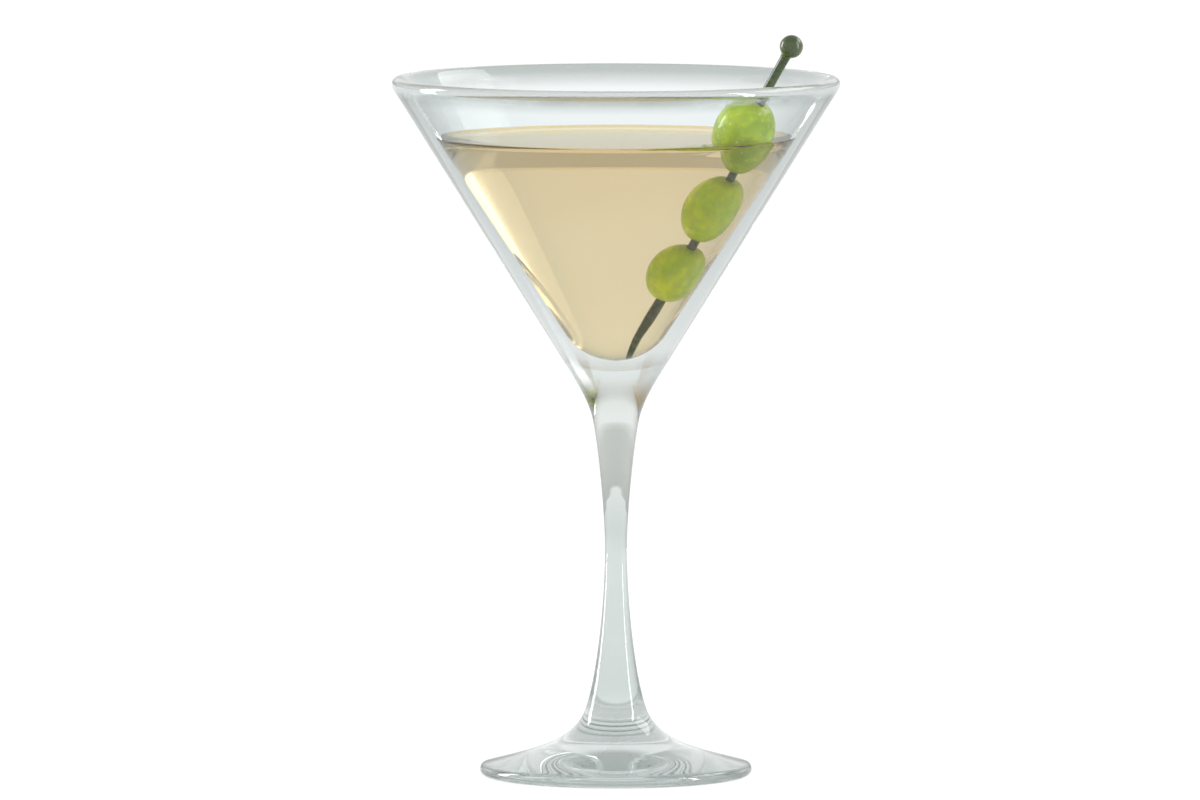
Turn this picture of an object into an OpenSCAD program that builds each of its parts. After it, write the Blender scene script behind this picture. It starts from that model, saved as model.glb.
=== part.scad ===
// Martini cocktail: a stemmed cone glass of clear glass, its drink, and three
// green olives on a dark green cocktail pick that leans along the bowl's wall.
// Millimetres, +Z up, origin at the centre of the foot's resting ring.
// The front is -Y and the pick leans to the right, +X, and a little forward.

/* [Glass] */
// Height of the glass from the table to its rim
glass_h = 180; // [150:1:220]
// Outer radius of the rim
rim_r = 57.7; // [50:0.1:70]
// Thickness of the bowl's wall at the rim
rim_wall = 3.5; // [2:0.1:4.5]
// Thickness of the bowl's wall beside its round floor
base_wall = 4.5; // [3:0.1:7]
// Depth of the bowl inside, from the rim to the lowest point of its floor
bowl_depth = 72.8; // [61:0.1:90]
// Radius of the round floor inside the bowl
floor_r = 15; // [12:0.1:18]

/* [Stem] */
// Radius of the stem at its waist
waist_r = 2.85; // [2.4:0.05:4]
// Height of the waist above the table
waist_z = 58; // [46:1:72]
// Radius where the stem turns out into the bowl
neck_r = 6.2; // [5:0.1:8]
// Solid glass between the neck and the bowl's floor
neck_drop = 14.4; // [12:0.1:18]
// Slope of the outline at the neck, from level
neck_slope = 74; // [65:1:82]

/* [Foot] */
// Outer radius of the foot
foot_r = 35.1; // [30:0.1:43]
// Thickness of the foot at its rounded edge
foot_edge = 3.2; // [2.4:0.1:4.2]
// Radius where the foot's crown turns up into the stem
crown_r = 9.1; // [8:0.1:11]
// Height of that turn above the table
crown_z = 14.4; // [12:0.1:18]
// Slope of the outline at that turn, from level
crown_slope = 57; // [50:1:64]
// Slope of the foot's top beside its edge, from level
edge_slope = 15; // [8:1:20]
// Width of the flat ring that the foot rests on
ring_w = 3; // [2:0.1:5]
// Rise of the hollow under the foot
hollow_h = 1.4; // [0.6:0.1:2]

/* [Drink] */
// Drop from the rim to the surface of the drink
fill_drop = 16.3; // [12:0.1:24]

/* [Pick] */
// Diameter of the pick's shaft
pick_d = 2.4; // [1.8:0.1:3]
// Length from the tip to the middle of the ball
pick_l = 97.6; // [88:0.1:118]
// Length of the tapered point
point_l = 13; // [9:0.5:16]
// Diameter of the rounded tip
tip_d = 0.7; // [0.5:0.1:1]
// Diameter of the ball on the upper end
ball_d = 5.9; // [4.5:0.1:8]
// Where the tip stands on the bowl's floor, to the right of the axis
tip_x = 1.3; // [-3:0.1:4]
// Where the tip stands on the bowl's floor, behind the axis
tip_y = 6; // [0:0.1:8]
// Direction that the pick leans in, from right towards the front
lean_dir = 38; // [10:1:50]
// Clearance where the pick and the olives rest against the glass
rest_gap = 0.15; // [0.05:0.01:0.3]

/* [Olives] */
// Diameter of the top olive
olive_1_w = 15.4; // [12.8:0.1:16.5]
// Length of the top olive
olive_1_l = 20.2; // [16.8:0.1:22]
// Diameter of the middle olive
olive_2_w = 15.4; // [12.8:0.1:16.5]
// Length of the middle olive
olive_2_l = 19.9; // [16.6:0.1:22]
// Diameter of the lowest olive
olive_3_w = 14; // [11.6:0.1:15.5]
// Length of the lowest olive
olive_3_l = 17.5; // [14.6:0.1:20]
// Distance along the pick from its tip to the middle of the lowest olive
olive_start = 27.8; // [26:0.1:32]
// Bare pick between neighbouring olives
olive_gap = 1.8; // [0.8:0.1:4]
// Height of the small nipple on each olive's lower end
nipple_h = 0.5; // [0:0.05:0.8]

/* [Hidden] */

ROUND = 96;          // segments of a preview circle
CURVE_STEPS = 12;    // straight steps in each curve of the glass's outline
ARC_STEPS = 10;      // straight steps in each rounded edge
OLIVE_STEPS = 20;    // straight steps along an olive's outline
SEARCH_STEPS = 30;   // halvings in the search for the pick's lean
STEEPEST = 60;       // most that the pick may lean from upright
CROWN_PULLS = [11.8, 7.7];   // handle lengths of the foot's crown curve
STEM_PULLS = [6.3, 15.8];    // handle lengths of the stem's lower curve
NECK_PULLS = [11.7, 3.9];    // handle lengths of the stem's upper curve
BOWL_PULLS = [5.2, 11.5];    // handle lengths of the curve into the bowl
NIPPLE_SPREAD = 15;  // how far round the olive's end its nipple reaches, degrees
EGG = 0.06;          // how much fuller an olive is towards its upper end

pick_r = pick_d / 2;
lip_r = rim_wall / 2;
lip = [rim_r - lip_r, glass_h - lip_r];            // centre of the rounded lip
bowl_floor = [0, glass_h - bowl_depth + floor_r];  // centre of the round floor
drink_z = glass_h - fill_drop;

// Slope from upright of a line that passes the lip's centre and the floor's
// centre on one side, with apart as the difference of its two distances
function wall_angle(apart) =
    let (across = lip - bowl_floor)
    acos(apart / norm(across)) - atan2(across[1], across[0]);
inner_angle = wall_angle(floor_r + lip_r);
outer_angle = wall_angle(floor_r + base_wall - lip_r);
function out_of(angle) = [cos(angle), -sin(angle)];
inner_reach = lip * out_of(inner_angle) - lip_r;
function inner_radius(z) = (inner_reach + z * sin(inner_angle)) / cos(inner_angle);

// Outline helpers: an arc about a centre, and a curve with a handle at each end
function arc(centre, radius, from, to, steps) =
    [for (i = [0 : steps]) let (a = from + (to - from) * i / steps)
        centre + radius * [cos(a), sin(a)]];
function curve_point(p, t) =
    pow(1 - t, 3) * p[0] + 3 * pow(1 - t, 2) * t * p[1]
    + 3 * (1 - t) * t * t * p[2] + pow(t, 3) * p[3];
function curve(p, steps) = [for (i = [1 : steps]) curve_point(p, i / steps)];

// Outline of the glass, from the hollow under the foot round to the bowl's floor
edge_r = foot_edge / 2;
ring_in = foot_r - edge_r - ring_w;
crown_start = [foot_r - edge_r, edge_r] + edge_r * [sin(edge_slope), cos(edge_slope)];
crown = [crown_r, crown_z];
crown_dir = [-cos(crown_slope), sin(crown_slope)];
waist = [waist_r, waist_z];
neck = [neck_r, glass_h - bowl_depth - neck_drop];
neck_dir = [cos(neck_slope), sin(neck_slope)];
bowl_start = bowl_floor + (floor_r + base_wall) * out_of(outer_angle);
outer_dir = [sin(outer_angle), cos(outer_angle)];

function hollow_outline() =
    [for (i = [0 : ARC_STEPS]) let (share = i / ARC_STEPS)
        [ring_in * share, hollow_h * (1 + cos(180 * share)) / 2]];
function foot_outline() = concat(
    arc([foot_r - edge_r, edge_r], edge_r, -90, 90 - edge_slope, ARC_STEPS),
    curve([crown_start,
        crown_start + CROWN_PULLS[0] * [-cos(edge_slope), sin(edge_slope)],
        crown - CROWN_PULLS[1] * crown_dir,
        crown], CURVE_STEPS));
function stem_outline() = concat(
    curve([crown,
        crown + STEM_PULLS[0] * crown_dir,
        waist - [0, STEM_PULLS[1]],
        waist], CURVE_STEPS),
    curve([waist,
        waist + [0, NECK_PULLS[0]],
        neck - NECK_PULLS[1] * neck_dir,
        neck], CURVE_STEPS),
    curve([neck,
        neck + BOWL_PULLS[0] * neck_dir,
        bowl_start - BOWL_PULLS[1] * outer_dir,
        bowl_start], CURVE_STEPS));
function lip_outline() = arc(lip, lip_r, -outer_angle, 180 - inner_angle, ARC_STEPS * 2);
function floor_outline() = arc(bowl_floor, floor_r, -inner_angle, -90, ARC_STEPS * 2);

// The pick stands on the bowl's floor and leans until the pick or an olive
// comes within rest_gap of the wall
tip_reach = floor_r - tip_d / 2 - rest_gap;
tip = [tip_x, tip_y,
    bowl_floor[1] - sqrt(tip_reach * tip_reach - tip_x * tip_x - tip_y * tip_y)];
OLIVE_W = [olive_1_w, olive_2_w, olive_3_w];
OLIVE_L = [olive_1_l, olive_2_l, olive_3_l];
// Distance of each olive's middle from the tip, worked out from the lowest up
OLIVE_AT = [
    olive_start + (olive_3_l + olive_1_l) / 2 + olive_2_l + 2 * olive_gap,
    olive_start + (olive_3_l + olive_2_l) / 2 + olive_gap,
    olive_start];

function pick_dir(lean) = [sin(lean) * cos(lean_dir), -sin(lean) * sin(lean_dir), cos(lean)];
function off_axis(p) = norm([p[0], p[1]]);
// Room between an olive and the wall that it leans towards
function olive_room(i, lean) =
    let (u = pick_dir(lean), p = tip + OLIVE_AT[i] * u, r = off_axis(p))
    let (out = [p[0] / r * cos(inner_angle), p[1] / r * cos(inner_angle), -sin(inner_angle)])
    let (along = out * u, half_l = OLIVE_L[i] / 2 + nipple_h, half_w = OLIVE_W[i] / 2)
    inner_reach - p * out - sqrt(pow(half_l * along, 2) + pow(half_w, 2) * (1 - pow(along, 2)));
// Room between the shaft and the inside of the lip
function shaft_room(lean) =
    let (p = tip + (lip[1] - tip[2]) / cos(lean) * pick_dir(lean))
    lip[0] - lip_r - off_axis(p) - pick_r / cos(lean);
function least_room(lean) =
    min(shaft_room(lean), min([for (i = [0 : 2]) olive_room(i, lean)]));
function lean_between(low, high, steps) =
    steps == 0 ? low
    : let (middle = (low + high) / 2)
      least_room(middle) > rest_gap ? lean_between(middle, high, steps - 1)
      : lean_between(low, middle, steps - 1);
lean = lean_between(0, STEEPEST, SEARCH_STEPS);

// Stands a child that is made round +Z from the origin where the pick stands
module on_pick() {
    translate(tip) rotate([0, lean, -lean_dir]) children();
}

// Outlines round the pick's own line, as [distance from it, distance from the tip]
function tip_outline() = concat(
    arc([0, 0], tip_d / 2, -90, 0, ARC_STEPS),
    [[pick_r, point_l]]);
function ball_outline() =
    arc([0, pick_l], ball_d / 2, -acos(pick_d / ball_d), 90, ARC_STEPS * 2);

// One whole olive: longer than it is wide, fuller above, with a nipple below
function olive_point(i, a) = [
    OLIVE_W[i] / 2 * sin(a) * (1 - EGG * cos(a)),
    OLIVE_AT[i] - OLIVE_L[i] / 2 * cos(a) - nipple_h * exp(-pow(a / NIPPLE_SPREAD, 2))];
// Where the straight step from p to q meets the shaft
function at_shaft(p, q) = p + (q - p) * (pick_r - p[0]) / (q[0] - p[0]);
// The olive's skin outside the shaft, from its lower end to its upper end
function olive_outline(i) =
    let (whole = [for (k = [0 : OLIVE_STEPS]) olive_point(i, 180 * k / OLIVE_STEPS)])
    let (skin = [for (p = whole) if (p[0] > pick_r) p])
    let (buried = [for (p = whole) if (p[0] <= pick_r) p])
    let (below = [for (p = buried) if (p[1] < OLIVE_AT[i]) p])
    let (above = [for (p = buried) if (p[1] > OLIVE_AT[i]) p])
    concat([at_shaft(below[len(below) - 1], skin[0])], skin,
        [at_shaft(skin[len(skin) - 1], above[0])]);

module glass() {
    color("lightcyan", 0.5) rotate_extrude($fn = ROUND)
        polygon(concat(hollow_outline(), foot_outline(), stem_outline(),
            lip_outline(), floor_outline()));
}

// The drink fills the bowl round the pick and its olives
module drink() {
    color("burlywood", 0.8) difference() {
        rotate_extrude($fn = ROUND)
            polygon(concat(floor_outline(), [[0, drink_z], [inner_radius(drink_z), drink_z]]));
        on_pick() rotate_extrude($fn = ROUND)
            polygon(concat(tip_outline(), olive_outline(2), olive_outline(1),
                olive_outline(0), ball_outline()));
    }
}

module olive(i) {
    color("yellowgreen") on_pick() rotate_extrude($fn = ROUND) polygon(olive_outline(i));
}

module pick() {
    color("darkolivegreen") on_pick() rotate_extrude($fn = ROUND)
        polygon(concat(tip_outline(), ball_outline()));
}

glass();
drink();
olive(0);  // olive_1
olive(1);  // olive_2
olive(2);  // olive_3
pick();
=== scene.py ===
"""A martini in a stemmed cone glass, with three green olives on a dark green pick.

The glass is turned from the outline of its CAD solid. The drink fills it to just inside the wall,
with its surface drawn up where it meets the glass and the top olive. Each olive is a primitive
pushed into the uneven shape of a real one, and the pick is turned and given its mould seam.
Metres, +Z up; the front is -Y.
"""

import math

import bmesh
import bpy
from mathutils import Matrix, Vector, noise


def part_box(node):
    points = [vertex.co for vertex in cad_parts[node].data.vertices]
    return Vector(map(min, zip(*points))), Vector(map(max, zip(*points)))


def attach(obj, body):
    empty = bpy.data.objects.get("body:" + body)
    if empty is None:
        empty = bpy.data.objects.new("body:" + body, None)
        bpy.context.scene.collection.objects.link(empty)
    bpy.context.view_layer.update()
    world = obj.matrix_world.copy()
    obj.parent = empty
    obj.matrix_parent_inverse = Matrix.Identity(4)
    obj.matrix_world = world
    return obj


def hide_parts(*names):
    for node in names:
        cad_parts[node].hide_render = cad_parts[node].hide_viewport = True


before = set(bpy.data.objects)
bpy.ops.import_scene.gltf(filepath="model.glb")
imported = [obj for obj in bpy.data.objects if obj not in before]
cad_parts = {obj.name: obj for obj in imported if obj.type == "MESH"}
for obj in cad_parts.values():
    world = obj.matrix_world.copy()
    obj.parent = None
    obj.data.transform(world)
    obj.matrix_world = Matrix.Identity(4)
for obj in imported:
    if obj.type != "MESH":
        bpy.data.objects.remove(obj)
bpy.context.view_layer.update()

MM = 0.001
UP = Vector((0, 0, 1))
GLASS_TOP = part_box("glass")[1].z
DRINK_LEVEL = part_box("drink")[1].z
scene = bpy.context.scene

# ---------------------------------------------------------------- camera

FRAME_WIDTH = 308.6 * MM     # how much of the scene the frame takes in, at the glass
CAMERA_DISTANCE = 4.0
CAMERA_RISE = math.radians(4.9)
AIM = Vector((-4.1 * MM, 0, 96.8 * MM))
SENSOR = 36.0
FARTHEST_SEEN = 100


def set_camera():
    data = bpy.data.cameras.new("camera")
    data.sensor_width = SENSOR
    data.lens = SENSOR * CAMERA_DISTANCE / FRAME_WIDTH
    data.clip_end = FARTHEST_SEEN
    camera = bpy.data.objects.new("camera", data)
    back = Vector((0, -math.cos(CAMERA_RISE), math.sin(CAMERA_RISE)))
    camera.location = AIM + back * CAMERA_DISTANCE
    camera.rotation_euler = (-back).to_track_quat("-Z", "Y").to_euler()
    scene.collection.objects.link(camera)
    scene.camera = camera


# ---------------------------------------------------------------- shader expressions


class Term:
    """A socket of a material's nodes. Sums, differences and products add Math nodes."""

    def __init__(self, finish, socket):
        self.finish = finish
        self.socket = socket

    def _math(self, operation, first, second):
        return self.finish.node("ShaderNodeMath", {"operation": operation}, {0: first, 1: second})

    def __add__(self, other):
        return self._math("ADD", self, other)

    def __radd__(self, other):
        return self._math("ADD", other, self)

    def __sub__(self, other):
        return self._math("SUBTRACT", self, other)

    def __rsub__(self, other):
        return self._math("SUBTRACT", other, self)

    def __mul__(self, other):
        return self._math("MULTIPLY", self, other)

    def __rmul__(self, other):
        return self._math("MULTIPLY", other, self)


class Finish:
    """A material, or the world, and the means to add nodes to it."""

    def __init__(self, name, kind="materials"):
        self.material = getattr(bpy.data, kind).new(name)
        self.material.use_nodes = True
        self.tree = self.material.node_tree
        self.tree.nodes.clear()

    def node(self, kind, settings=None, sockets=None, output=0):
        """Adds a node and returns one of its outputs, or None where it has no output."""
        made = self.tree.nodes.new(kind)
        for setting, value in (settings or {}).items():
            if setting == "stops":
                self._set_stops(made.color_ramp, value)
            else:
                setattr(made, setting, value)
        for socket, value in (sockets or {}).items():
            if isinstance(value, Term):
                self.tree.links.new(value.socket, made.inputs[socket])
            else:
                made.inputs[socket].default_value = value
        return Term(self, made.outputs[output]) if made.outputs else None

    def _set_stops(self, ramp, stops):
        while len(ramp.elements) < len(stops):
            ramp.elements.new(0.5)
        for element, (place, colour) in zip(ramp.elements, stops):
            element.position = place
            element.color = colour

    def place(self):
        """Where a point is on the piece, as Object coordinates."""
        return self.node("ShaderNodeTexCoord", output=3)

    def height(self, place):
        return self.node("ShaderNodeSeparateXYZ", {}, {0: place}, 2)

    def carried(self, name):
        """A value that the piece's own points carry."""
        return self.node("ShaderNodeAttribute", {"attribute_name": name}, output=2)

    def grain(self, place, scale, detail=2.0, roughness=0.5):
        return self.node("ShaderNodeTexNoise", {}, {
            "Vector": place, "Scale": scale, "Detail": detail, "Roughness": roughness})

    def between(self, value, low, high, to_low=0.0, to_high=1.0):
        """An eased step from to_low, where the value is low, to to_high, where it is high."""
        return self.node("ShaderNodeMapRange", {"interpolation_type": "SMOOTHSTEP"}, {
            0: value, 1: low, 2: high, 3: to_low, 4: to_high})

    def blend(self, share, first, second):
        return self.node(
            "ShaderNodeMix", {"data_type": "RGBA"}, {0: share, 6: first, 7: second}, 2)

    def bump(self, height, distance, strength):
        return self.node("ShaderNodeBump", {}, {
            "Height": height, "Distance": distance, "Strength": strength})

    def shader(self, **sockets):
        return self.node("ShaderNodeBsdfPrincipled", {}, {
            name.replace("_", " "): value for name, value in sockets.items()})

    def surface(self, shader):
        self.node("ShaderNodeOutputMaterial", {}, {"Surface": shader})
        return self.material

    def absorb(self, colour, density):
        """Light that passes through the inside of the piece takes on this colour."""
        output = next(n for n in self.tree.nodes if n.type == "OUTPUT_MATERIAL")
        depth = self.node("ShaderNodeVolumeAbsorption", {}, {"Color": colour, "Density": density})
        self.tree.links.new(depth.socket, output.inputs["Volume"])


def srgb(red, green, blue):
    """A display colour of 0 to 255 as the linear colour that shaders take."""
    linear = [c / 12.92 if c <= 0.04045 else ((c + 0.055) / 1.055) ** 2.4
              for c in (red / 255, green / 255, blue / 255)]
    return (*linear, 1.0)


def grey(level):
    """A linear grey."""
    return (level, level, level, 1.0)


# ---------------------------------------------------------------- materials

# The wall and the drink bend light less than real glass and liquor do, so that the wall keeps
# its width and the olives stay near their true places.
GLASS_IOR = 1.5
WALL_IOR = 1.015
DRINK_IOR = 1.2
WALL_GLOSS = 0.42

# Heights between which one zone of the glass passes into the next.
FOOT_TO_STEM = (8 * MM, 24 * MM)
STEM_EDGE_STARTS = (14 * MM, 26 * MM)
STEM_TO_NECK = (62 * MM, 82 * MM)
NECK_TO_BOWL = (98 * MM, 110 * MM)
STEM_EDGE_ENDS = (98 * MM, 112 * MM)
WALL_TO_LIP = (GLASS_TOP - 5 * MM, GLASS_TOP - 1.5 * MM)
LIP_SHADE_STARTS = (GLASS_TOP - 7 * MM, GLASS_TOP - 1 * MM)

# The glass is one clear glass: the stem and neck are painted greyer than the foot and bowl, as
# painted shade.
STEM_PAINTED_SHADE = srgb(208, 216, 214)
NECK_PAINTED_SHADE = srgb(232, 236, 234)
FOOT_TINT = srgb(248, 250, 250)
WALL_TINT = srgb(250, 253, 253)
# The lip is painted darker than the bowl below it: painted shade that draws the rim's outline.
LIP_PAINTED_SHADE = srgb(184, 192, 190)
# Where the surface turns away from the view the glass is painted darker: painted edge shade, strong
# on the stem and weak on the bowl.
EDGE_PAINTED_SHADE = srgb(110, 118, 116)
EDGE_TURN = (0.22, 0.80)     # how far the surface turns away where its painted edge shade begins and is full
STEM_EDGE = 0.85
WALL_EDGE = 0.25
GLASS_DEPTH = srgb(206, 213, 211)
GLASS_DENSITY = 27.0


def clear_glass():
    finish = Finish("clear_glass")
    place = finish.place()
    height = finish.height(place)
    smear = finish.between(finish.grain(place, 60.0, 4.0), 0.55, 0.75, 0.0, 0.02)
    wobble = finish.bump(finish.grain(place, 28.0, 1.0), 0.02 * MM, 0.6)
    # Painted shade: the stem and neck darker than the foot and the bowl.
    tint_and_painted_shade = finish.blend(finish.between(height, *FOOT_TO_STEM), FOOT_TINT, STEM_PAINTED_SHADE)
    tint_and_painted_shade = finish.blend(finish.between(height, *STEM_TO_NECK), tint_and_painted_shade, NECK_PAINTED_SHADE)
    in_bowl = finish.between(height, *NECK_TO_BOWL)
    tint_and_painted_shade = finish.blend(in_bowl, tint_and_painted_shade, WALL_TINT)
    # Painted shade on the lip.
    tint_and_painted_shade = finish.blend(finish.between(height, *LIP_SHADE_STARTS), tint_and_painted_shade, LIP_PAINTED_SHADE)
    # Painted edge shade where the surface turns away from the view.
    turned_away = finish.node("ShaderNodeLayerWeight", {}, {"Blend": 0.5}, 1)
    edge = finish.between(turned_away, *EDGE_TURN)
    edge_shade_share = finish.between(height, *STEM_EDGE_STARTS, 0.0, STEM_EDGE)
    edge_shade_share = edge_shade_share - finish.between(height, *STEM_EDGE_ENDS, 0.0, STEM_EDGE - WALL_EDGE)
    tint_and_painted_shade = finish.blend(edge * edge_shade_share, tint_and_painted_shade, EDGE_PAINTED_SHADE)
    wall = finish.shader(
        Base_Color=tint_and_painted_shade, Roughness=smear, IOR=WALL_IOR, Transmission_Weight=1.0,
        Coat_Weight=WALL_GLOSS, Coat_Roughness=0.0, Normal=wobble)
    solid = finish.shader(
        Base_Color=tint_and_painted_shade, Roughness=smear, IOR=GLASS_IOR, Transmission_Weight=1.0, Normal=wobble)
    in_lip = finish.between(height, *WALL_TO_LIP)
    both = finish.node("ShaderNodeMixShader", {}, {0: in_bowl * (1 - in_lip), 1: solid, 2: wall})
    material = finish.surface(both)
    finish.absorb(GLASS_DEPTH, GLASS_DENSITY)
    return material


DRINK_PALE = srgb(246, 236, 208)
DRINK_DEEP = srgb(242, 230, 198)
DRINK_LOW = srgb(239, 222, 186)
DRINK_TOP = srgb(238, 216, 170)
LOW_SHARE = 0.8
LOW_IN_BOWL = (112 * MM, 150 * MM)
TOP_SKIN = (DRINK_LEVEL - 0.3 * MM, DRINK_LEVEL - 0.05 * MM)
DRINK_DEPTH = srgb(226, 196, 140)
DRINK_DENSITY = 9.6


def pale_drink():
    finish = Finish("pale_drink")
    place = finish.place()
    height = finish.height(place)
    clouds = finish.between(finish.grain(place, 18.0, 3.0), 0.35, 0.65)
    colour = finish.blend(clouds, DRINK_PALE, DRINK_DEEP)
    low = finish.between(height, *LOW_IN_BOWL, LOW_SHARE, 0.0)
    colour = finish.blend(low, colour, DRINK_LOW)
    colour = finish.blend(finish.between(height, *TOP_SKIN), colour, DRINK_TOP)
    ripple = finish.bump(finish.grain(place, 40.0, 1.0), 0.02 * MM, 0.5)
    material = finish.surface(finish.shader(
        Base_Color=colour, Roughness=0.0, IOR=DRINK_IOR, Transmission_Weight=1.0, Normal=ripple))
    finish.absorb(DRINK_DEPTH, DRINK_DENSITY)
    return material


# Green, yellower green: in the air, and painted brighter and more saturated for the olives seen
# through the drink, as painted light that makes up for the light the drink takes.
AIR_GREENS = srgb(166, 200, 4), srgb(204, 230, 28)
SUNK_GREENS_PAINTED_BRIGHTER = srgb(196, 234, 0), srgb(228, 252, 10)
OLIVE_END = srgb(142, 150, 14)
OLIVE_SPECK = srgb(222, 232, 138)
OLIVE_VEIN = srgb(112, 136, 10)


def olive_skin():
    """Green skin with soft patches, dull ends, pale specks and faint darker veins; the olives in the
    drink have their greens painted brighter, as painted light.
    """
    finish = Finish("olive_skin")
    place = finish.place()
    patches = finish.between(finish.grain(place, 170.0, 3.0), 0.35, 0.68)
    # Painted light: the olives in the drink take the brighter greens.
    colour = finish.blend(
        finish.carried("sunk"),
        finish.blend(patches, *AIR_GREENS),
        finish.blend(patches, *SUNK_GREENS_PAINTED_BRIGHTER))
    along = finish.carried("along")
    colour = finish.blend(finish.between(along * along, 0.55, 1.0) * 0.55, colour, OLIVE_END)
    cells = finish.node("ShaderNodeTexVoronoi", {"feature": "F1"}, {
        "Vector": place, "Scale": 620.0, "Randomness": 1.0})
    specks = finish.between(cells, 0.15, 0.3, 1.0, 0.0)
    colour = finish.blend(specks * 0.8, colour, OLIVE_SPECK)
    veins = finish.between(finish.grain(place, 420.0, 5.0, 0.65), 0.42, 0.62)
    colour = finish.blend((1 - veins) * 0.22, colour, OLIVE_VEIN)
    pits = finish.grain(place, 1400.0, 2.0) * 0.4 + veins * 0.5 - specks * 0.5
    return finish.surface(finish.shader(
        Base_Color=colour, Roughness=finish.between(patches, 0.0, 1.0, 0.34, 0.26),
        IOR=1.38, Subsurface_Weight=0.12, Subsurface_Scale=2 * MM,
        Subsurface_Radius=(1.0, 0.9, 0.1), Coat_Weight=0.35, Coat_Roughness=0.06,
        Normal=finish.bump(pits, 0.09 * MM, 0.8)))


PICK_DARK = srgb(50, 64, 34)
PICK_LIGHT = srgb(70, 87, 48)


def green_plastic():
    finish = Finish("green_plastic")
    place = finish.place()
    clouds = finish.between(finish.grain(place, 120.0, 3.0), 0.3, 0.7)
    scuffs = finish.grain(place, 900.0, 4.0)
    return finish.surface(finish.shader(
        Base_Color=finish.blend(clouds, PICK_DARK, PICK_LIGHT),
        Roughness=finish.between(scuffs, 0.3, 0.7, 0.18, 0.34),
        IOR=1.5, Coat_Weight=0.3, Coat_Roughness=0.1,
        Normal=finish.bump(scuffs, 0.02 * MM, 0.5)))


FLOOR_TONES = grey(0.29), grey(0.31)
FLOOR_GLOW = 0.73


def floor_paper():
    """Pale paper that is lit from behind as well, so that it stays even."""
    finish = Finish("floor_paper")
    clouds = finish.between(finish.grain(finish.place(), 3.0, 3.0), 0.3, 0.7)
    return finish.surface(finish.shader(
        Base_Color=finish.blend(clouds, *FLOOR_TONES), Roughness=0.9,
        Emission_Color=grey(1.0), Emission_Strength=FLOOR_GLOW))


# ---------------------------------------------------------------- making shapes by hand

AXIS_GAP = 0.05 * MM         # what is nearer to the axis than this is on it
SAME_RING = 0.02 * MM
SAME_POINT = 0.001 * MM
ROUNDING = 1


def drop_selection():
    for thing in bpy.context.selected_objects:
        thing.select_set(False)


def started(name):
    """The primitive that was just added, with its place in its mesh, all selected in edit mode."""
    piece = bpy.context.active_object
    piece.name = name
    piece.data.name = name
    piece.data.transform(piece.matrix_basis)
    piece.matrix_basis = Matrix.Identity(4)
    bpy.ops.object.mode_set(mode="EDIT")
    bpy.context.tool_settings.mesh_select_mode = (True, False, False)
    bpy.ops.mesh.select_all(action="SELECT")
    return piece


def rounded(piece):
    """Rounds off the flats of the piece by one level of subdivision, and applies it."""
    modifier = piece.modifiers.new("rounding", "SUBSURF")
    modifier.levels = ROUNDING
    modifier.render_levels = ROUNDING
    drop_selection()
    piece.select_set(True)
    bpy.context.view_layer.objects.active = piece
    bpy.ops.object.modifier_apply(modifier=modifier.name)


def finished(piece, material, node):
    """Gives the piece its material and smooth shading, and puts it in the CAD node's place."""
    piece.data.materials.clear()
    piece.data.materials.append(material)
    for face in piece.data.polygons:
        face.use_smooth = True
    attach(piece, "root")
    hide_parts(node)


def select_ring(piece, radius, height):
    """Selects only the ring of points at this radius and height."""
    bpy.ops.mesh.select_all(action="DESELECT")
    mesh = bmesh.from_edit_mesh(piece.data)
    for point in mesh.verts:
        off = abs(math.hypot(point.co.x, point.co.y) - radius) + abs(point.co.z - height)
        point.select = off < SAME_RING
    mesh.select_flush(True)
    bmesh.update_edit_mesh(piece.data)


def close_ring(piece, height):
    """Runs the selected ring in to one point on the axis at this height."""
    bpy.ops.mesh.extrude_region_move()
    bpy.ops.mesh.merge(type="CENTER")
    mesh = bmesh.from_edit_mesh(piece.data)
    for point in mesh.verts:
        if point.select:
            point.co = (0, 0, height)
    bmesh.update_edit_mesh(piece.data)


def turned(name, outline, sides):
    """A shape of revolution, drawn up ring by ring along an outline of (radius, height)."""
    drop_selection()
    rings = [point for point in outline if point[0] > AXIS_GAP]
    first_radius, first_height = rings[0]
    bpy.ops.mesh.primitive_circle_add(
        vertices=sides, radius=first_radius, location=(0, 0, first_height))
    piece = started(name)
    if outline[0][0] <= AXIS_GAP:
        close_ring(piece, outline[0][1])
        select_ring(piece, first_radius, first_height)
    for (radius, height), (next_radius, next_height) in zip(rings, rings[1:]):
        share = next_radius / radius
        bpy.ops.mesh.extrude_region_move()
        bpy.ops.transform.resize(value=(share, share, 1), center_override=(0, 0, height))
        bpy.ops.transform.translate(value=(0, 0, next_height - height))
    if outline[-1][0] <= AXIS_GAP:
        close_ring(piece, outline[-1][1])
    bpy.ops.mesh.select_all(action="SELECT")
    bpy.ops.mesh.remove_doubles(threshold=SAME_POINT)
    bpy.ops.mesh.normals_make_consistent(inside=False)
    bpy.ops.object.mode_set(mode="OBJECT")
    return piece


# ---------------------------------------------------------------- the glass

GLASS_SIDES = 96


def rings_of(mesh):
    """The rings of a round mesh, as their (radius, height), and the ring of each of its points."""
    rings = []
    cells = {}

    def ring_of(point):
        spot = (math.hypot(point.x, point.y), point.z)
        column = round(spot[0] / SAME_RING)
        row = round(spot[1] / SAME_RING)
        for near_column in (column - 1, column, column + 1):
            for near_row in (row - 1, row, row + 1):
                if (near_column, near_row) in cells:
                    return cells[near_column, near_row]
        cells[column, row] = len(rings)
        rings.append(spot)
        return cells[column, row]

    return [ring_of(v.co) for v in mesh.vertices], rings


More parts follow.
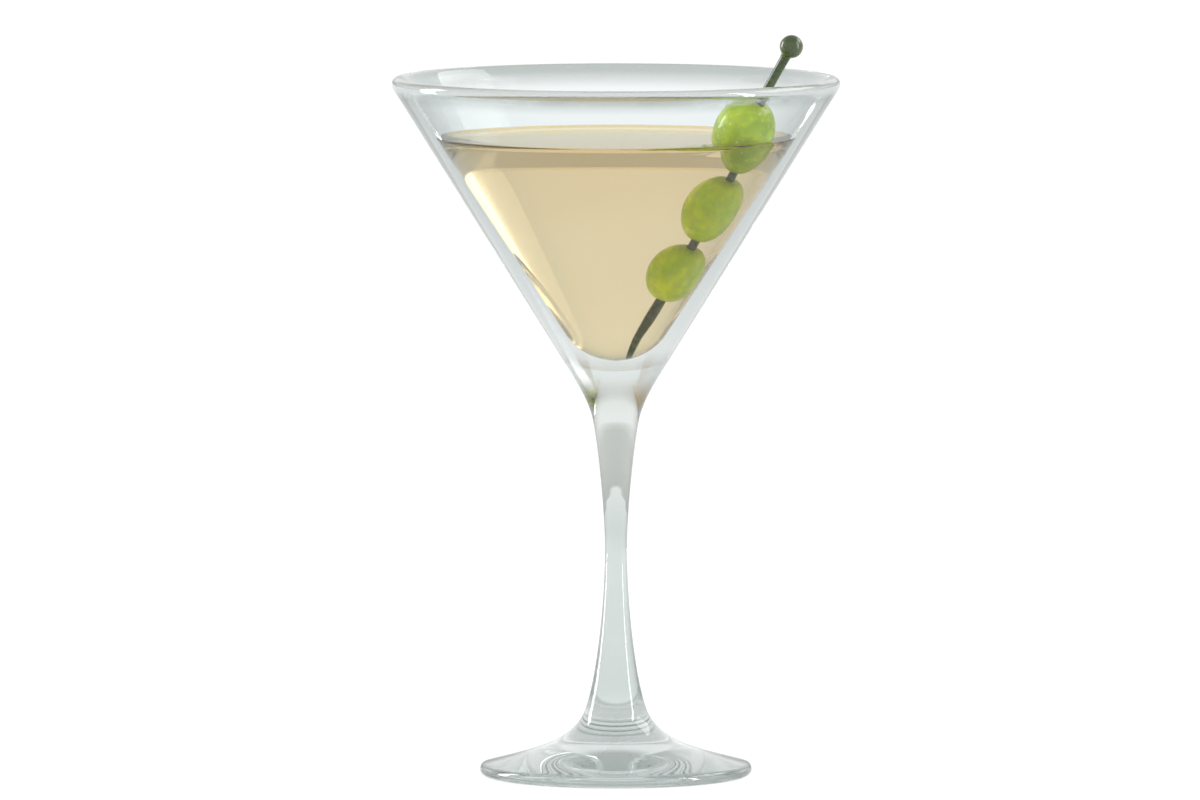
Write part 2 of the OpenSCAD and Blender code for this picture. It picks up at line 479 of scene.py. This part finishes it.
def outline_of(node):
    """The outline of a round CAD node, from the middle of its underside to its inner floor."""
    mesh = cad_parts[node].data
    ring, rings = rings_of(mesh)
    beside = {}
    for edge in mesh.edges:
        one, other = (ring[v] for v in edge.vertices)
        if one != other:
            beside.setdefault(one, set()).add(other)
            beside.setdefault(other, set()).add(one)
    ends = [r for r in beside if rings[r][0] < AXIS_GAP]
    here = min(ends, key=lambda r: rings[r][1])
    walk = [here]
    while here is not None:
        onward = [r for r in beside[here] if r not in walk]
        here = min(onward, key=lambda r: math.dist(rings[r], rings[walk[-1]]), default=None)
        if here is not None:
            walk.append(here)
    return [rings[r] for r in walk]


def make_glass(outline):
    piece = turned("stemmed_glass", outline, GLASS_SIDES)
    rounded(piece)
    finished(piece, clear_glass(), "glass")


# ---------------------------------------------------------------- the drink

INTO_WALL = 0.25 * MM        # the drink goes this far into the glass, so that no air is left
DRINK_SIDES = 96
MENISCUS = 1.1 * MM          # how far the drink draws up at a wall
MENISCUS_REACH = 1.9 * MM
WALL_STEPS = 24
SURFACE_STEP = 1.2 * MM
EDGE_STEP = 0.35 * MM
SMALLEST_RING = 0.6 * SURFACE_STEP
LEVEL_PLAY = 0.01 * MM


def drink_outline(glass_outline):
    """The surface from its middle out to the wall, then the inside of the glass down to its floor."""
    lip = max(range(len(glass_outline)), key=lambda i: glass_outline[i][1])
    inside = []
    for radius, height in glass_outline[lip:]:
        on_axis = radius <= AXIS_GAP
        inside.append((0, height - INTO_WALL) if on_axis else (radius + INTO_WALL, height))
    side = [point for point in inside if point[1] < DRINK_LEVEL]
    over = [point for point in inside if point[1] >= DRINK_LEVEL][-1]
    under = side[0]
    slope = (over[0] - under[0]) / (over[1] - under[1])
    top = DRINK_LEVEL + MENISCUS
    wall = []
    for step in range(WALL_STEPS):
        height = top + (under[1] - top) * step / WALL_STEPS
        wall.append((under[0] + slope * (height - under[1]), height))
    reach = wall[0][0] - INTO_WALL
    surface = []
    radius = reach - INTO_WALL
    while radius > SMALLEST_RING:
        from_wall = reach - radius
        surface.append((radius, DRINK_LEVEL + MENISCUS * math.exp(-from_wall / MENISCUS_REACH)))
        radius -= SURFACE_STEP if from_wall > 3 * MENISCUS_REACH else EDGE_STEP
    return [(0, DRINK_LEVEL)] + surface[::-1] + wall + side


def make_drink(glass_outline, beside_top_olive):
    """The drink, whose surface is also drawn up round the top olive."""
    piece = turned("martini_drink", drink_outline(glass_outline), DRINK_SIDES)
    for vertex in piece.data.vertices:
        if vertex.co.z < DRINK_LEVEL - LEVEL_PLAY:
            continue
        away = max(0.0, beside_top_olive(vertex.co))
        drawn_up = DRINK_LEVEL + MENISCUS * math.exp(-away / MENISCUS_REACH)
        vertex.co.z = min(max(vertex.co.z, drawn_up), DRINK_LEVEL + MENISCUS)
    rounded(piece)
    finished(piece, pale_drink(), "drink")


# ---------------------------------------------------------------- the pick and its olives


class PickLine:
    """The long line of the pick, which the olives are threaded on."""

    def __init__(self):
        points = [v.co.copy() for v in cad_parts["pick"].data.vertices]
        self.middle = sum(points, Vector()) / len(points)
        self.way = self._longest_way(points)

    def _longest_way(self, points):
        spread = Matrix(((0, 0, 0),) * 3)
        for point in points:
            off = point - self.middle
            spread += Matrix([[a * b for b in off] for a in off])
        way = UP
        for _ in range(60):
            way = (spread @ way).normalized()
        return way

    def spot(self, point):
        """How far along the line a point is, and how far out from it."""
        along = (point - self.middle).dot(self.way)
        return along, (point - self.middle - self.way * along).length

    def reach(self, node):
        """Where a CAD node that is round about the line starts and ends, and its radius."""
        spots = [self.spot(v.co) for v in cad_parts[node].data.vertices]
        alongs = [along for along, _ in spots]
        return min(alongs), max(alongs), max(out for _, out in spots)

    def stand(self, along):
        """The matrix that stands a piece, made round +Z at the origin, on the line."""
        turn = UP.rotation_difference(self.way).to_matrix().to_4x4()
        return Matrix.Translation(self.middle + self.way * along) @ turn


OLIVE_SIDES = 56
OLIVE_RINGS = 40
UNEVEN = 0.16 * MM
UNEVEN_SCALE = 90
SKIN_INSET = 0.12 * MM       # keeps the uneven skin inside the size of the CAD olive
FULLER_TOP = 0.05
PUCKER = 0.55 * MM           # how deep the skin is drawn in where the pick goes through
PUCKER_WIDTH = 2.0 * MM


def make_olive(name, node, number, sunk, skin, pick_line):
    low, high, radius = pick_line.reach(node)
    half = (high - low) / 2
    drop_selection()
    bpy.ops.mesh.primitive_uv_sphere_add(segments=OLIVE_SIDES, ring_count=OLIVE_RINGS, radius=1)
    piece = started(name)
    bpy.ops.transform.resize(value=(radius, radius, half))
    bpy.ops.object.mode_set(mode="OBJECT")
    own_noise = Vector((3.1, 1.7, 5.3)) * number
    along = piece.data.attributes.new("along", "FLOAT", "POINT")
    under = piece.data.attributes.new("sunk", "FLOAT", "POINT")
    for index, vertex in enumerate(piece.data.vertices):
        place = vertex.co
        share = place.z / half
        along.data[index].value = share
        under.data[index].value = sunk
        bulge = noise.noise(place * UNEVEN_SCALE + own_noise) * UNEVEN
        place.x *= 1 + FULLER_TOP * share
        place.y *= 1 + FULLER_TOP * share
        outward = Vector((place.x, place.y, place.z * (radius / half) ** 2)).normalized()
        place += outward * (bulge - SKIN_INSET)
        drawn_in = PUCKER * math.exp(-(math.hypot(place.x, place.y) / PUCKER_WIDTH) ** 2)
        place.z -= math.copysign(drawn_in, share)
    rounded(piece)
    piece.data.transform(pick_line.stand((low + high) / 2))
    finished(piece, skin, node)


PICK_SIDES = 32
SHAFT_RADIUS = 1.2 * MM
TAPER = 13 * MM
TAPER_STEPS = 10
SHAFT_STEPS = 20
BALL_STEPS = 16
BLUNT_TIP = [(0, 0), (0.2 * MM, 0.04 * MM), (0.34 * MM, 0.3 * MM)]
TIP_RADIUS = 0.35 * MM
TIP_HEIGHT = 0.35 * MM
COLLAR = 1.2 * MM            # where the shaft begins to widen into the ball
SEAM_RISE = 0.06 * MM


def pick_outline(length, ball):
    """The pick from its blunt tip up the taper and the shaft to the top of its ball."""
    outline = list(BLUNT_TIP)
    for step in range(1, TAPER_STEPS + 1):
        share = step / TAPER_STEPS
        outline.append((TIP_RADIUS + (SHAFT_RADIUS - TIP_RADIUS) * share, TIP_HEIGHT + TAPER * share))
    ball_middle = length - ball
    for step in range(1, SHAFT_STEPS):
        outline.append((SHAFT_RADIUS, TAPER + (ball_middle - ball - TAPER) * step / SHAFT_STEPS))
    neck = ball_middle - math.sqrt(ball ** 2 - SHAFT_RADIUS ** 2)
    outline.append((SHAFT_RADIUS, neck - COLLAR))
    outline.append((SHAFT_RADIUS * 1.06, neck - 0.5 * MM))
    start = math.asin(SHAFT_RADIUS * 1.25 / ball)
    for step in range(BALL_STEPS):
        angle = start + (math.pi - start) * step / BALL_STEPS
        outline.append((ball * math.sin(angle), ball_middle - ball * math.cos(angle)))
    return outline + [(0, length)]


def make_pick(pick_line):
    low, high, ball = pick_line.reach("pick")
    piece = turned("olive_pick", pick_outline(high - low, ball), PICK_SIDES)
    for vertex in piece.data.vertices:
        on_seam = abs(vertex.co.y) < SAME_POINT and abs(vertex.co.x) > SHAFT_RADIUS / 2
        if on_seam:
            vertex.co.x += math.copysign(SEAM_RISE, vertex.co.x)
    rounded(piece)
    piece.data.transform(pick_line.stand(low))
    finished(piece, green_plastic(), "pick")


# ---------------------------------------------------------------- the studio

FLOOR_SIZE = 60
HORIZON_FADE = 0.004
BELOW_HORIZON = grey(0.9)
WORLD_STRENGTH = 1.12
# Sine of the height above the horizon, and the colour there: bright a little way up, as a wide
# lit backdrop is, and greyer low down and overhead.
SKY = [
    (0.0, (0.57, 0.57, 0.56, 1)),
    (0.08, (0.65, 0.65, 0.63, 1)),
    (0.15, grey(1.0)),
    (0.45, grey(1.0)),
    (0.7, grey(0.6)),
    (1.0, grey(0.65)),
]
# Name, place, what it points at, width, height, watts, and whether it is seen through the glass.
SOFTBOXES = [
    ("high_softbox", (0.85, 0.33, 0.80), (0, 0, 0.15), 0.80, 0.45, 3.4, True),
    ("left_softbox", (-0.66, 0.24, 0.28), (0, 0, 0.28), 0.16, 0.56, 3.4, False),
    ("right_softbox", (0.75, -0.27, 0.42), (0, 0, 0.42), 0.10, 0.84, 3.0, False),
]
LIGHT_PASSES = 24            # light goes through many surfaces of glass and drink


def lay_floor():
    drop_selection()
    bpy.ops.mesh.primitive_plane_add(size=FLOOR_SIZE, location=(0, 0, 0))
    floor = bpy.context.active_object
    floor.name = "floor"
    floor.data.materials.append(floor_paper())


def light_world():
    finish = Finish("studio", "worlds")
    scene.world = finish.material
    rise = finish.height(finish.node("ShaderNodeTexCoord"))
    sky = finish.node("ShaderNodeValToRGB", {"stops": SKY}, {0: rise})
    above = finish.between(rise, -HORIZON_FADE, HORIZON_FADE)
    glow = finish.node("ShaderNodeBackground", {}, {
        "Color": finish.blend(above, BELOW_HORIZON, sky), "Strength": WORLD_STRENGTH})
    finish.node("ShaderNodeOutputWorld", {}, {"Surface": glow})


def hang_softbox(name, place, target, width, height, watts, seen_through):
    data = bpy.data.lights.new(name, "AREA")
    data.shape = "RECTANGLE"
    data.size = width
    data.size_y = height
    data.energy = watts
    lamp = bpy.data.objects.new(name, data)
    lamp.location = place
    lamp.visible_camera = False
    lamp.visible_transmission = seen_through
    lamp.rotation_euler = (Vector(target) - Vector(place)).to_track_quat("-Z", "Y").to_euler()
    scene.collection.objects.link(lamp)


def set_studio():
    lay_floor()
    light_world()
    for softbox in SOFTBOXES:
        hang_softbox(*softbox)
    scene.view_settings.view_transform = "Standard"
    scene.cycles.max_bounces = LIGHT_PASSES
    scene.cycles.transmission_bounces = LIGHT_PASSES
    scene.cycles.glossy_bounces = LIGHT_PASSES


# ---------------------------------------------------------------- the whole drink

# Name, CAD node, and whether the olive lies in the drink, where its greens are painted brighter.
OLIVES = [
    ("top_olive", "olive_1", False),
    ("middle_olive", "olive_2", True),
    ("low_olive", "olive_3", True),
]


def pour_martini():
    glass_outline = outline_of("glass")
    pick_line = PickLine()
    skin = olive_skin()
    make_glass(glass_outline)
    for number, (name, node, sunk) in enumerate(OLIVES, 1):
        make_olive(name, node, number, sunk, skin, pick_line)
    make_pick(pick_line)
    low, high, radius = pick_line.reach("olive_1")

    def beside_top_olive(point):
        """Roughly how far a point is outside the top olive."""
        along, out = pick_line.spot(point)
        share = math.hypot((along - (low + high) / 2) / ((high - low) / 2), out / radius)
        return (share - 1) * radius

    make_drink(glass_outline, beside_top_olive)


set_camera()
set_studio()
pour_martini()
